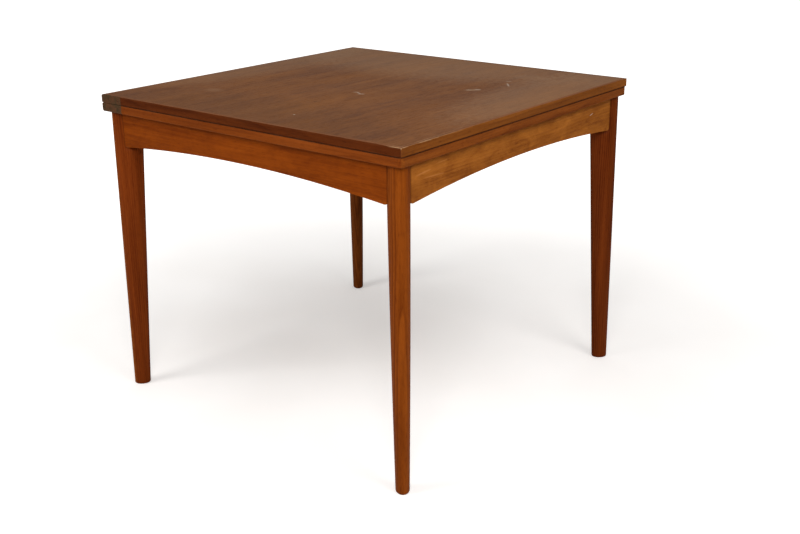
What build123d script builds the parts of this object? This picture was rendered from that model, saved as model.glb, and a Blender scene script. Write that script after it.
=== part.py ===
from build123d import *
import os
from math import copysign, sqrt

# Square fold-over dining table, closed. Two equal leaves lie one on the other on an arched frame
# with four oval legs. To open it, both leaves slide sideways by half their width along +X, and the
# upper leaf then folds over the hinge line, so that the seam ends up over the middle of the frame.
# Millimetres, +Z up, origin on the floor under the middle of the top.
# The front is -Y, the hinge line runs parallel to Y at the -X edge (the left side).

# ---- Driving dimensions ----
TOP_SIDE = 880.0
TABLE_HEIGHT = 735.0
LEAF_THICK = 19.0
LEAF_GAP = 0.8
LEAF_TO_FRAME = 1.0
APRON_SETBACK = 16.0
APRON_THICK = 22.0
APRON_END_INSET = 45.0
ARCH_MID_Z = 633.7
ARCH_RISE = 20.5
SLIDE_TRAVEL = 440.0
LIPPING_WIDTH = 8.0
VENEER_THICK = 0.9

# ---- Levels and half sizes that follow from them ----
HALF = TOP_SIDE / 2
UPPER_LOW_Z = TABLE_HEIGHT - LEAF_THICK
LOWER_TOP_Z = UPPER_LOW_Z - LEAF_GAP
LOWER_LOW_Z = LOWER_TOP_Z - LEAF_THICK
FRAME_TOP_Z = LOWER_LOW_Z - LEAF_TO_FRAME
APRON_FACE = HALF - APRON_SETBACK
APRON_BACK = APRON_FACE - APRON_THICK
APRON_MID = (APRON_FACE + APRON_BACK) / 2
APRON_END = HALF - APRON_END_INSET

# ---- Leaf edges ----
ARRIS_RADIUS = 0.8
LOWER_CORNER_RADIUS = 11.0
UPPER_CORNER_RADIUS = 1.5
HINGE_EDGE_OUTER_RADIUS = 4.5

# ---- Card-table hinges: a plate in each leaf, joined by a link on two pins ----
# The leaves turn about a line halfway between their mating faces, half a gap beyond the hinge edge.
# The upper pin keeps to the link's own line all the way round, and slides along its slot.
PIN_INSET = 3.5  # of each pin from the mating face and the hinge edge, and the mating arris radius
PIN_RADIUS = 1.25
PIN_DEPTH = 8.5
PLATE_LENGTH = 68.0
PLATE_THICK = 3.0
LINK_THICK = 2.0
LINK_END_RADIUS = 3.2
LINK_SIDE_GAP = 0.25
LINK_BORE_RADIUS = 1.30
LINK_PITCH = LEAF_GAP + 2 * PIN_INSET
LINK_SLOT_END = LINK_PITCH * sqrt(2)
HINGE_SCREW_INSETS = (26.0, 56.0)
HINGE_SCREW_LENGTH = 22.0
HINGE_SCREW_RADIUS = 1.6
HINGE_SCREW_HEAD_RADIUS = 3.3

# ---- Legs: oval, longer along the table's diagonal, measured from the middle of the table ----
LEG_OUTER_FOOT = 613.0
LEG_OUTER_TOP = 603.0
LEG_INNER_FOOT = 574.3
LEG_INNER_TOP = 532.9
LEG_ACROSS_FOOT = 29.6
LEG_ACROSS_MIDDLE = 39.7
LEG_ACROSS_TOP = 45.5
FOOT_RADIUS = 4.0
APRON_CORNER_RADIUS = 10.0

# ---- Joinery and fasteners of the frame ----
DOWEL_RADIUS = 4.0
DOWEL_IN_APRON = 26.0
DOWEL_IN_LEG = 18.0
DOWEL_Z_PAIRS = ((682.0, 650.0), (666.0, 634.0))
BLOCK_OUTER = 531.0
BLOCK_INNER = 506.0
BLOCK_LOW_Z = 642.0
BLOCK_HIGH_Z = 688.0
LEG_BOLT_RADIUS = 3.0
LEG_BOLT_LENGTH = 52.0
LEG_BOLT_HEAD_RADIUS = 6.5
LEG_BOLT_HEAD_HEIGHT = 4.5
WASHER_RADIUS = 9.0
WASHER_THICK = 1.5
BLOCK_SCREW_RADIUS = 2.0
BLOCK_SCREW_HEAD_RADIUS = 4.0
BLOCK_SCREW_HEAD_HEIGHT = 2.6
BLOCK_SCREW_LENGTH = 28.0
BLOCK_SCREW_SEAT = 5.0
BLOCK_SCREW_RECESS_RADIUS = 4.6

# ---- Slide: two grooved rails in the frame, two tongued battens under the lower leaf ----
RAIL_INNER_Y = 235.0
RAIL_WIDTH = 30.0
RAIL_LOW_Z = 655.0
RAIL_HOUSING = 5.0
GROOVE_DEPTH = 9.0
GROOVE_LOW_Z = 670.0
GROOVE_HIGH_Z = 681.0
SLIDE_CLEARANCE = 0.3
BATTEN_WIDTH = 40.0
BATTEN_LOW_Z = 662.0
BATTEN_LEFT_X = (-388.0, -96.0)
BATTEN_SCREW_Y = (-180.0, 0.0, 180.0)
BATTEN_SCREW_RADIUS = 2.25
BATTEN_SCREW_HEAD_RADIUS = 4.5
BATTEN_SCREW_LENGTH = 46.0
STOP_WIDTH = 20.0
STOP_LOW_Z = 664.0
STOP_HIGH_Z = 690.0
FELT_WIDTH = 8.0
FELT_LENGTH = 640.0
FELT_RECESS = 1.0

PARTS = {}


def block(low, high):
    """Box between two opposite corners."""
    size = [b - a for a, b in zip(low, high)]
    middle = [(a + b) / 2 for a, b in zip(low, high)]
    return Pos(*middle) * Box(*size)


def prism(points, low_z, high_z):
    """Upright prism on a plan outline."""
    outline = make_face(Polyline(*points, close=True))
    return Pos(0, 0, low_z) * extrude(outline, high_z - low_z)


def rod(start, direction, radius, length):
    """Round rod from a point along a direction."""
    seat = Plane(origin=start, z_dir=direction)
    return seat * extrude(Circle(radius), length)


def countersunk_screw(start, direction, length, radius, head_radius):
    """Slotted flat-head wood screw, its head flush with the face at the start point."""
    head_height = head_radius - radius
    seat = Plane(origin=start, z_dir=direction)
    shank = extrude(Circle(radius), length - 2 * radius)
    tip = Pos(0, 0, length - radius) * Cone(radius, 0.3, 2 * radius)
    head = Pos(0, 0, head_height / 2) * Cone(head_radius, radius, head_height)
    slot = Box(3 * head_radius, 0.9, 1.4)
    return seat * (shank + tip + head - slot)


def screw_hole(start, direction, length, radius, head_radius):
    """Hole and countersink that fit the screw, open through the face at the start point."""
    head_height = head_radius - radius
    seat = Plane(origin=start, z_dir=direction)
    shank = extrude(Circle(radius), length - 2 * radius)
    tip = Pos(0, 0, length - radius) * Cone(radius, 0.3, 2 * radius)
    head = Pos(0, 0, head_height / 2) * Cone(head_radius, radius, head_height)
    return seat * (shank + tip + head)


def recessed_screw(start, direction):
    """Round-head corner block screw in its counterbore, and the hole that it needs."""
    seat = Plane(origin=start, z_dir=direction) * Pos(0, 0, BLOCK_SCREW_SEAT)
    shank = extrude(Circle(BLOCK_SCREW_RADIUS), BLOCK_SCREW_LENGTH)
    head = Pos(0, 0, -BLOCK_SCREW_HEAD_HEIGHT) * extrude(
        Circle(BLOCK_SCREW_HEAD_RADIUS), BLOCK_SCREW_HEAD_HEIGHT
    )
    head = fillet(head.edges().sort_by(Axis.Z)[0], BLOCK_SCREW_HEAD_HEIGHT * 0.6)
    slot = Pos(0, 0, -BLOCK_SCREW_HEAD_HEIGHT) * Box(3 * BLOCK_SCREW_HEAD_RADIUS, 1.0, 2.4)
    recess_length = BLOCK_SCREW_SEAT + 2 * BLOCK_SCREW_RECESS_RADIUS
    recess = Pos(0, 0, -recess_length) * extrude(Circle(BLOCK_SCREW_RECESS_RADIUS), recess_length)
    return seat * (shank + head - slot), seat * (shank + recess)


def cut(body, tools):
    """The body less every tool."""
    for tool in tools:
        body = body - tool
    return body


def keep(name, shape):
    """Stores one node under its file name."""
    PARTS[name] = shape


# ---------------------------------------------------------------- frame
def arched_outline(top_z):
    """Side view of an apron on the XZ plane: straight top, arched bottom, rounded lower ends."""
    end_z = ARCH_MID_Z - ARCH_RISE
    top = Line((-APRON_END, top_z), (APRON_END, top_z))
    right = Line((APRON_END, top_z), (APRON_END, end_z))
    arch = ThreePointArc((APRON_END, end_z), (0, ARCH_MID_Z), (-APRON_END, end_z))
    left = Line((-APRON_END, end_z), (-APRON_END, top_z))
    face = make_face([top, right, arch, left])
    lower = face.vertices().sort_by(Axis.Y)[0:2]
    return fillet(lower, APRON_CORNER_RADIUS)


def front_apron_shape(outer_y, inner_y, top_z):
    """Apron outline made solid between two planes of constant Y."""
    solid = extrude(Plane.XZ * arched_outline(top_z), outer_y - inner_y)
    return Pos(0, -inner_y, 0) * solid


def leg_section(height_share):
    """Middle on the diagonal and half axes of the oval at a share of the leg's height."""
    outer = LEG_OUTER_FOOT + (LEG_OUTER_TOP - LEG_OUTER_FOOT) * height_share
    inner = LEG_INNER_FOOT + (LEG_INNER_TOP - LEG_INNER_FOOT) * height_share
    if height_share == 0.5:
        across = LEG_ACROSS_MIDDLE
    else:
        across = LEG_ACROSS_FOOT + (LEG_ACROSS_TOP - LEG_ACROSS_FOOT) * height_share
    return (outer + inner) / 2, (outer - inner) / 2, across / 2


def front_right_leg():
    """Tapered oval leg of the +X, -Y corner, before its housings are cut."""
    sections = []
    for height_share in (0.0, 0.5, 1.0):
        middle, half_long, half_across = leg_section(height_share)
        origin = (middle / sqrt(2), -middle / sqrt(2), FRAME_TOP_Z * height_share)
        seat = Plane(origin=origin, x_dir=(1, -1, 0), z_dir=(0, 0, 1))
        sections.append(seat * Ellipse(half_long, half_across))
    leg = loft(sections)
    rim = leg.edges().sort_by(Axis.Z)[0]
    return fillet(rim, FOOT_RADIUS)


def quarter_turns(shape):
    """The shape turned to all four sides: 0, 90, 180 and 270 degrees about +Z."""
    return [Rot(0, 0, 90 * turn) * shape for turn in range(4)]


def corner_block_shape():
    """Corner block of the +X, -Y corner, between the inner faces of two aprons."""
    outer_reach = BLOCK_OUTER * sqrt(2) - APRON_BACK
    inner_reach = BLOCK_INNER * sqrt(2) - APRON_BACK
    outline = [
        (APRON_BACK, -inner_reach),
        (APRON_BACK, -outer_reach),
        (outer_reach, -APRON_BACK),
        (inner_reach, -APRON_BACK),
    ]
    return prism(outline, BLOCK_LOW_Z, BLOCK_HIGH_Z)


def leg_bolt_shapes():
    """Hexagon-head coach screw with its washer, into the leg, and the hole that its shank needs."""
    middle_z = (BLOCK_LOW_Z + BLOCK_HIGH_Z) / 2
    inner = BLOCK_INNER / sqrt(2)
    seat = Plane(origin=(inner, -inner, middle_z), z_dir=(1, -1, 0))
    washer = Pos(0, 0, -WASHER_THICK) * extrude(Circle(WASHER_RADIUS), WASHER_THICK)
    head_z = -WASHER_THICK - LEG_BOLT_HEAD_HEIGHT
    head = Pos(0, 0, head_z) * extrude(RegularPolygon(LEG_BOLT_HEAD_RADIUS, 6), LEG_BOLT_HEAD_HEIGHT)
    shank = extrude(Circle(LEG_BOLT_RADIUS), LEG_BOLT_LENGTH)
    hole = Pos(0, 0, -1) * extrude(Circle(LEG_BOLT_RADIUS), LEG_BOLT_LENGTH + 1)
    return seat * (washer + head + shank), seat * hole


def corner_block_screw_starts():
    """Heads of one corner block's two screws, and the way each one drives."""
    outer_reach = BLOCK_OUTER * sqrt(2) - APRON_BACK
    inner_reach = BLOCK_INNER * sqrt(2) - APRON_BACK
    along = (outer_reach + inner_reach) / 2
    depth = BLOCK_INNER * sqrt(2) - along
    middle_z = (BLOCK_LOW_Z + BLOCK_HIGH_Z) / 2
    return [((depth, -along, middle_z), (1, 0, 0)), ((along, -depth, middle_z), (0, -1, 0))]


def corner_dowels():
    """The four dowels of the +X, -Y corner: two into the front apron, two into the right one."""
    dowels = []
    length = DOWEL_IN_APRON + DOWEL_IN_LEG
    for level in DOWEL_Z_PAIRS[0]:
        start = (APRON_END - DOWEL_IN_APRON, -APRON_MID, level)
        dowels.append(rod(start, (1, 0, 0), DOWEL_RADIUS, length))
    for level in DOWEL_Z_PAIRS[1]:
        start = (APRON_MID, -(APRON_END - DOWEL_IN_APRON), level)
        dowels.append(rod(start, (0, -1, 0), DOWEL_RADIUS, length))
    return dowels


def rail_shape(side):
    """Grooved slide rail along X, on the front (-1) or back (+1) half of the frame."""
    reach = APRON_BACK + RAIL_HOUSING
    near = side * RAIL_INNER_Y
    far = side * (RAIL_INNER_Y + RAIL_WIDTH)
    groove_floor = side * (RAIL_INNER_Y + GROOVE_DEPTH)
    bar = block((-reach, min(near, far), RAIL_LOW_Z), (reach, max(near, far), FRAME_TOP_Z))
    open_side = near - side
    groove = block(
        (-APRON_BACK, min(open_side, groove_floor), GROOVE_LOW_Z),
        (APRON_BACK, max(open_side, groove_floor), GROOVE_HIGH_Z),
    )
    return bar - groove


def stop_shapes():
    """Stop blocks at both ends of both rails: two for the closed top, two for the open one."""
    closed_face = BATTEN_LEFT_X[0] - SLIDE_CLEARANCE
    open_face = BATTEN_LEFT_X[1] + BATTEN_WIDTH + SLIDE_TRAVEL + SLIDE_CLEARANCE
    stops = []
    for low_y in (-RAIL_INNER_Y, RAIL_INNER_Y - STOP_WIDTH):
        high_y = low_y + STOP_WIDTH
        stops.append(block((-APRON_BACK, low_y, STOP_LOW_Z), (closed_face, high_y, STOP_HIGH_Z)))
        stops.append(block((open_face, low_y, STOP_LOW_Z), (APRON_BACK, high_y, STOP_HIGH_Z)))
    return stops


def felt_strip():
    """Felt strip let into the front apron's top edge."""
    low = (-FELT_LENGTH / 2, -APRON_MID - FELT_WIDTH / 2, FRAME_TOP_Z - FELT_RECESS)
    high = (FELT_LENGTH / 2, -APRON_MID + FELT_WIDTH / 2, LOWER_LOW_Z - SLIDE_CLEARANCE)
    return block(low, high)


def build_frame():
    """Legs, aprons and everything that stays with them."""
    side_names = ("front", "right", "back", "left")
    corner_names = ("front_right", "back_right", "back_left", "front_left")
    housing = front_apron_shape(HALF + 20, APRON_BACK, FRAME_TOP_Z + 20)
    apron = front_apron_shape(APRON_FACE, APRON_BACK, FRAME_TOP_Z)
    leg = front_right_leg() - housing - Rot(0, 0, 90) * housing

    dowels = [turned for dowel in corner_dowels() for turned in quarter_turns(dowel)]
    bolt, bolt_hole = leg_bolt_shapes()
    bolt_holes = quarter_turns(bolt_hole)
    screws = []
    screw_cuts = []
    for start, way in corner_block_screw_starts():
        screw, hole = recessed_screw(start, way)
        screws += quarter_turns(screw)
        screw_cuts += quarter_turns(hole)
    felts = quarter_turns(felt_strip())
    rails = {"slide_rail_front": rail_shape(-1), "slide_rail_back": rail_shape(1)}
    fillings = dowels + screw_cuts + felts + list(rails.values())

    for name, turned in zip(side_names, quarter_turns(apron)):
        keep("apron_" + name, cut(turned, fillings))
    for name, turned in zip(corner_names, quarter_turns(leg)):
        keep("leg_" + name, cut(turned, dowels + bolt_holes))
    for name, turned in zip(corner_names, quarter_turns(corner_block_shape())):
        keep("corner_block_" + name, cut(turned, bolt_holes + screw_cuts))
    for name, rail in rails.items():
        keep(name, rail)
    keep("apron_dowels", Compound(children=dowels))
    keep("leg_bolts", Compound(children=quarter_turns(bolt)))
    keep("corner_block_screws", Compound(children=screws))
    keep("slide_stops", Compound(children=stop_shapes()))
    keep("slide_felts", Compound(children=felts))


# ---------------------------------------------------------------- leaves
def rounded_bar(width, thick, near_low, near_high, far_low, far_high):
    """Leaf section, centred: low and high corner radii at its near (-) and far (+) edges."""
    half_w = width / 2
    half_t = thick / 2
    corners = [
        ((-half_w, -half_t), near_low),
        ((-half_w, half_t), near_high),
        ((half_w, -half_t), far_low),
        ((half_w, half_t), far_high),
    ]
    face = Rectangle(width, thick)
    for (x, y), radius in corners:
        vertex = face.vertices().sort_by_distance(Vector(x, y, 0))[0]
        face = fillet(vertex, radius)
    return face


def leaf_envelope(low_z, mating_face_up, corner_radius):
    """Outer shape of one leaf, with the mating arris of its hinge edge rounded to clear the other."""
    low_radius, high_radius = HINGE_EDGE_OUTER_RADIUS, PIN_INSET
    if not mating_face_up:
        low_radius, high_radius = high_radius, low_radius
    along_y = rounded_bar(TOP_SIDE, LEAF_THICK, low_radius, high_radius, ARRIS_RADIUS, ARRIS_RADIUS)
    along_x = rounded_bar(TOP_SIDE, LEAF_THICK, *[ARRIS_RADIUS] * 4)
    plan = Rectangle(TOP_SIDE, TOP_SIDE)
    plan = fillet(plan.vertices().sort_by(Axis.X)[-2:], corner_radius)
    middle_z = low_z + LEAF_THICK / 2
    first = extrude(Plane.XZ * along_y, HALF, both=True)
    second = extrude(Plane.YZ * along_x, HALF, both=True)
    third = extrude(plan, LEAF_THICK, both=True)
    return Pos(0, 0, middle_z) * (first & second & third)


def plate_region(side, low_z):
    """Recess of a hinge plate in the front (-1) or back (+1) edge of a leaf."""
    inner = side * (HALF - PLATE_THICK)
    outer = side * (HALF + 1)
    low = (-HALF - 1, min(inner, outer), low_z - 1)
    high = (-HALF + PLATE_LENGTH, max(inner, outer), low_z + LEAF_THICK + 1)
    return block(low, high)


def link_pocket(side, pin_z, mating_z, reach):
    """Pocket behind a hinge plate in which the link swings, reaching this far in past the pin."""
    outer = side * (HALF - PLATE_THICK)
    inner = side * (HALF - PLATE_THICK - LINK_THICK - 2 * LINK_SIDE_GAP)
    into_leaf = copysign(reach, pin_z - mating_z)
    levels = sorted((pin_z + into_leaf, 2 * mating_z - pin_z))
    low = (-HALF - 1, min(inner, outer), levels[0])
    high = (-HALF + PIN_INSET + reach, max(inner, outer), levels[1])
    return block(low, high)


def hinge_pin(side, pin_z):
    """Pin fixed in a hinge plate; its inner end goes on into the leaf behind the link."""
    start = (-HALF + PIN_INSET, side * HALF, pin_z)
    return rod(start, (0, -side, 0), PIN_RADIUS, PIN_DEPTH)


def hinge_screw_seats(side, low_z):
    """Head centre and driving way of each screw of one hinge plate."""
    middle_z = low_z + LEAF_THICK / 2
    return [((-HALF + inset, side * HALF, middle_z), (0, -side, 0)) for inset in HINGE_SCREW_INSETS]


def build_leaf(label, low_z, mating_face_up, corner_radius, extra_cuts):
    """One leaf: core, two veneers, four mitred lippings and its half of both hinges."""
    link_end = 0.0 if mating_face_up else LINK_SLOT_END - LINK_PITCH
    link_reach = link_end + LINK_END_RADIUS + LINK_SIDE_GAP
    mating_z = low_z + LEAF_THICK if mating_face_up else low_z
    pin_z = mating_z - PIN_INSET if mating_face_up else mating_z + PIN_INSET
    high_z = low_z + LEAF_THICK
    inner = HALF - LIPPING_WIDTH
    envelope = leaf_envelope(low_z, mating_face_up, corner_radius)

    screws = []
    pins = []
    hollows = list(extra_cuts)
    plate_hollows = []
    sizes = (HINGE_SCREW_LENGTH, HINGE_SCREW_RADIUS, HINGE_SCREW_HEAD_RADIUS)
    for side in (-1, 1):
        pins.append(hinge_pin(side, pin_z))
        hollows.append(plate_region(side, low_z))
        hollows.append(link_pocket(side, pin_z, mating_z, link_reach))
        for start, way in hinge_screw_seats(side, low_z):
            screws.append(countersunk_screw(start, way, *sizes))
            plate_hollows.append(screw_hole(start, way, *sizes))
    plate_hollows += pins
    hollows += plate_hollows

    for side, name in ((-1, "front"), (1, "back")):
        plate = envelope & plate_region(side, low_z)
        keep(f"{label}_hinge_plate_{name}", cut(plate, plate_hollows))
    keep(f"{label}_hinge_pins", Compound(children=pins))
    keep(f"{label}_hinge_screws", Compound(children=screws))

    low_veneer_z = low_z + VENEER_THICK
    high_veneer_z = high_z - VENEER_THICK
    core = block((-inner, -inner, low_veneer_z), (inner, inner, high_veneer_z))
    keep(f"{label}_core", cut(core, hollows))
    underside = block((-inner, -inner, low_z), (inner, inner, low_veneer_z))
    keep(f"{label}_underside_veneer", cut(underside, extra_cuts))
    top = block((-inner, -inner, high_veneer_z), (inner, inner, high_z))
    keep(f"{label}_top_veneer", top)

    mitre = [(HALF + 1, -HALF - 1), (HALF + 1, HALF + 1), (inner, inner), (inner, -inner)]
    wedge = prism(mitre, low_z - 1, high_z + 1)
    for name, turned in zip(("right", "back", "left", "front"), quarter_turns(wedge)):
        keep(f"{label}_lipping_{name}", cut(envelope & turned, hollows))


def batten_shape(left_x):
    """Cross batten with a tongue at each end that runs in the rail's groove."""
    right_x = left_x + BATTEN_WIDTH
    body_y = RAIL_INNER_Y - SLIDE_CLEARANCE
    tongue_y = RAIL_INNER_Y + GROOVE_DEPTH - 2 * SLIDE_CLEARANCE
    body = block((left_x, -body_y, BATTEN_LOW_Z), (right_x, body_y, LOWER_LOW_Z))
    tongue_low = GROOVE_LOW_Z + SLIDE_CLEARANCE
    tongue_high = GROOVE_HIGH_Z - SLIDE_CLEARANCE
    return body + block((left_x, -tongue_y, tongue_low), (right_x, tongue_y, tongue_high))


def link_shape(side, low_pin_z):
    """Hinge link at rest: upright, with a bore for the lower pin and a slot for the upper one."""
    outer = HALF - PLATE_THICK - LINK_SIDE_GAP
    slot_length = LINK_SLOT_END - LINK_PITCH
    flat = Pos(LINK_SLOT_END / 2, 0) * SlotCenterToCenter(LINK_SLOT_END, LINK_END_RADIUS * 2)
    flat = flat - Circle(LINK_BORE_RADIUS)
    slot = SlotCenterToCenter(slot_length, LINK_BORE_RADIUS * 2)
    flat = flat - Pos(LINK_PITCH + slot_length / 2, 0) * slot
    start = (-HALF + PIN_INSET, side * outer, low_pin_z)
    seat = Plane(origin=start, x_dir=(0, 0, 1), z_dir=(0, -side, 0))
    return seat * extrude(flat, LINK_THICK)


def build_leaves():
    """Both leaves, the battens under the lower one and the hinge links between them."""
    battens = [batten_shape(left_x) for left_x in BATTEN_LEFT_X]
    screws = []
    screw_cuts = []
    for left_x in BATTEN_LEFT_X:
        for y in BATTEN_SCREW_Y:
            start = (left_x + BATTEN_WIDTH / 2, y, BATTEN_LOW_Z)
            sizes = (BATTEN_SCREW_LENGTH, BATTEN_SCREW_RADIUS, BATTEN_SCREW_HEAD_RADIUS)
            screws.append(countersunk_screw(start, (0, 0, 1), *sizes))
            screw_cuts.append(screw_hole(start, (0, 0, 1), *sizes))
    for name, batten in zip(("left", "middle"), battens):
        keep(f"slide_batten_{name}", cut(batten, screw_cuts))
    keep("batten_screws", Compound(children=screws))

    build_leaf("lower_leaf", LOWER_LOW_Z, True, LOWER_CORNER_RADIUS, screw_cuts)
    build_leaf("upper_leaf", UPPER_LOW_Z, False, UPPER_CORNER_RADIUS, [])
    keep("hinge_link_front", link_shape(-1, LOWER_TOP_Z - PIN_INSET))
    keep("hinge_link_back", link_shape(1, LOWER_TOP_Z - PIN_INSET))


build_frame()
build_leaves()

os.makedirs("parts", exist_ok=True)
for name, shape in PARTS.items():
    export_step(shape, f"parts/{name}.step")
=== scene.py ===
"""Fold-over dining table in oiled teak: finishes, fasteners, floor, light and camera.

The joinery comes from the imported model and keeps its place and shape. This script dresses every
piece of it, makes the legs, screws and bolts from rules, and sets the table in a plain pale studio.
Metres, +Z up, the front is -Y and the hinge edge of the two leaves is at -X.
"""

import logging
import math
from dataclasses import dataclass, field
from enum import Enum

import bpy
from mathutils import Matrix, Vector

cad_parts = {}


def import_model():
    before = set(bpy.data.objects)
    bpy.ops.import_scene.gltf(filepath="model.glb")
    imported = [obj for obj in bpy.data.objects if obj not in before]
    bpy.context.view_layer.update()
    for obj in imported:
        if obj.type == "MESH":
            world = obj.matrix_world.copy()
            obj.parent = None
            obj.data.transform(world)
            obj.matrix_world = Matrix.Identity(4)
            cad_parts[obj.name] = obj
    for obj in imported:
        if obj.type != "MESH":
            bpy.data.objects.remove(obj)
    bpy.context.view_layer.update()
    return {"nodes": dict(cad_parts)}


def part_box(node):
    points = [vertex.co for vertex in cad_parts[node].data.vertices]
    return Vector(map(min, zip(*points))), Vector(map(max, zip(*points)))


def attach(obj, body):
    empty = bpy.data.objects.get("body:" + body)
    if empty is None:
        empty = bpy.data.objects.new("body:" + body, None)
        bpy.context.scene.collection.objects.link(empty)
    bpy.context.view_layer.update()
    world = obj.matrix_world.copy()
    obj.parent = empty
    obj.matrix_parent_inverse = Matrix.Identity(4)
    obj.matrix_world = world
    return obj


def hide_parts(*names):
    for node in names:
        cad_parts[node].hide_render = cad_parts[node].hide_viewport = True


Socket = bpy.types.NodeSocket
Triple = tuple[float, float, float]
Seats = list[tuple[Vector, Vector]]  # where each copy stands, and the way it points
Profile = list[tuple[object, object]]  # height and radius of each corner of a turned body

LOG = logging.getLogger("table")
MM = 0.001
WELD_REACH = 0.002 * MM


# ------------------------------------------------------------------ shader graph helper
class Graph:
    """A thin writer for one node tree, so that finishes read as arithmetic."""

    def __init__(self, tree: bpy.types.NodeTree) -> None:
        """Keeps the tree that the nodes go into."""
        self.tree = tree

    def node(self, kind: str, **settings: object) -> bpy.types.Node:
        """Adds one node and sets its plain properties.

        Args:
            kind: The node's type name.
            **settings: Properties to set on it.

        Returns:
            The new node.
        """
        made = self.tree.nodes.new(kind)
        for name, value in settings.items():
            setattr(made, name, value)
        return made

    def feed(self, socket: Socket, value: object) -> None:
        """Links a socket to another one, or sets it to a plain value, a colour without its alpha.

        Args:
            socket: The input.
            value: What it gets.
        """
        if isinstance(value, Socket):
            self.tree.links.new(value, socket)
        else:
            socket.default_value = (*value, 1.0) if socket.type == "RGBA" else value

    def tune(self, node: bpy.types.Node, **inputs: object) -> None:
        """Feeds a node's open inputs by name, with _ for a space.

        Args:
            node: The node.
            **inputs: Values or sockets, by input name.
        """
        for name, value in inputs.items():
            plain = name.replace("_", " ")
            self.feed([s for s in node.inputs if s.name == plain and s.enabled][0], value)

    def made_by(self, kind: str, settings: dict[str, object], **inputs: object) -> bpy.types.Node:
        """Adds a node and feeds its inputs.

        Args:
            kind: The node's type name.
            settings: Its plain properties.
            **inputs: Values or sockets, by input name, with _ for a space.

        Returns:
            The node.
        """
        made = self.node(kind, **settings)
        self.tune(made, **inputs)
        return made

    def result(self, node: bpy.types.Node) -> Socket:
        """The output that a node's settings leave open."""
        return [s for s in node.outputs if s.enabled][0]

    def math(self, operation: str, *values: object, clamp: bool = False) -> Socket:
        """One Math node.

        Args:
            operation: Blender's name of the operation.
            *values: Its inputs, numbers or sockets.
            clamp: Whether the result stays between 0 and 1.

        Returns:
            The node's output socket.
        """
        made = self.node("ShaderNodeMath", operation=operation, use_clamp=clamp)
        for socket, value in zip(made.inputs, values):
            self.feed(socket, value)
        return made.outputs[0]

    def minus(self, first: object, second: object) -> Socket:
        """The first number less the second."""
        return self.math("SUBTRACT", first, second)

    def times(self, first: object, second: object) -> Socket:
        """Two numbers multiplied."""
        return self.math("MULTIPLY", first, second)

    def times_plus(self, first: object, second: object, more: object, clamp: bool = False) -> Socket:
        """Two numbers multiplied, plus a third."""
        return self.math("MULTIPLY_ADD", first, second, more, clamp=clamp)

    def smooth(self, value: object, low: float, high: float) -> Socket:
        """A smooth step from 0 at low to 1 at high; low may be the larger one.

        Args:
            value: The number or socket that is compared.
            low: Where the step starts.
            high: Where it ends.

        Returns:
            The step's output socket.
        """
        start, end = (low, high) if low < high else (high, low)
        bottom, top = (0.0, 1.0) if low < high else (1.0, 0.0)
        made = self.made_by(
            "ShaderNodeMapRange",
            {"interpolation_type": "SMOOTHSTEP"},
            Value=value,
            From_Min=start,
            From_Max=end,
            To_Min=bottom,
            To_Max=top,
        )
        return made.outputs["Result"]

    def place(self) -> Socket:
        """The point on the piece, in its own coordinates."""
        return self.node("ShaderNodeTexCoord").outputs["Object"]

    def split(self, vector: Socket) -> list[Socket]:
        """The x, y and z of a vector.

        Args:
            vector: The vector.

        Returns:
            Its three numbers.
        """
        made = self.node("ShaderNodeSeparateXYZ")
        self.feed(made.inputs[0], vector)
        return list(made.outputs)

    def join(self, x: object, y: object, z: object) -> Socket:
        """A vector from three numbers.

        Args:
            x: Its x.
            y: Its y.
            z: Its z.

        Returns:
            The vector.
        """
        made = self.node("ShaderNodeCombineXYZ")
        for socket, value in zip(made.inputs, (x, y, z)):
            self.feed(socket, value)
        return made.outputs[0]

    def mapped(
        self,
        vector: Socket,
        scale: Triple = (1.0, 1.0, 1.0),
        shift: Triple = (0.0, 0.0, 0.0),
    ) -> Socket:
        """A point scaled along each axis, then shifted.

        Args:
            vector: The point.
            scale: Factor along each axis.
            shift: Shift along each axis.

        Returns:
            The mapped point.
        """
        settings = {"vector_type": "POINT"}
        made = self.made_by("ShaderNodeMapping", settings, Vector=vector, Scale=scale, Location=shift)
        return made.outputs[0]

    def noise(
        self,
        vector: Socket,
        scale: float,
        detail: float = 2.0,
        roughness: float = 0.5,
        distortion: float = 0.0,
    ) -> Socket:
        """The height of a noise texture.

        Args:
            vector: Where it is read.
            scale: Its scale.
            detail: Octaves.
            roughness: How much each finer octave counts.
            distortion: How far the texture is pulled about.

        Returns:
            Its value, about 0 to 1.
        """
        made = self.made_by(
            "ShaderNodeTexNoise",
            {"noise_dimensions": "3D"},
            Vector=vector,
            Scale=scale,
            Detail=detail,
            Roughness=roughness,
            Distortion=distortion,
        )
        return made.outputs[0]

    def ramp(self, value: Socket, stops: tuple[tuple[float, Triple], ...]) -> Socket:
        """A colour ramp.

        Args:
            value: What it is read at.
            stops: Place and linear colour of each stop, from low to high.

        Returns:
            The colour.
        """
        made = self.node("ShaderNodeValToRGB")
        band = made.color_ramp
        while len(band.elements) < len(stops):
            band.elements.new(0.5)
        for element, (place, colour) in zip(band.elements, stops):
            element.position = place
            element.color = (*colour, 1.0)
        self.feed(made.inputs[0], value)
        return made.outputs[0]

    def mix(self, share: object, first: object, second: object, how: str = "MIX") -> Socket:
        """The first colour at a share of 0, and the second, or their blend, at 1."""
        settings = {"data_type": "RGBA", "blend_type": how}
        return self.result(self.made_by("ShaderNodeMix", settings, Factor=share, A=first, B=second))

    def bump(self, height: Socket, depth: float) -> Socket:
        """A bumped normal for a height of 0 to 1 that stands for this depth in metres."""
        made = self.made_by("ShaderNodeBump", {}, Strength=1.0, Distance=depth, Height=height)
        return made.outputs[0]


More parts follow.
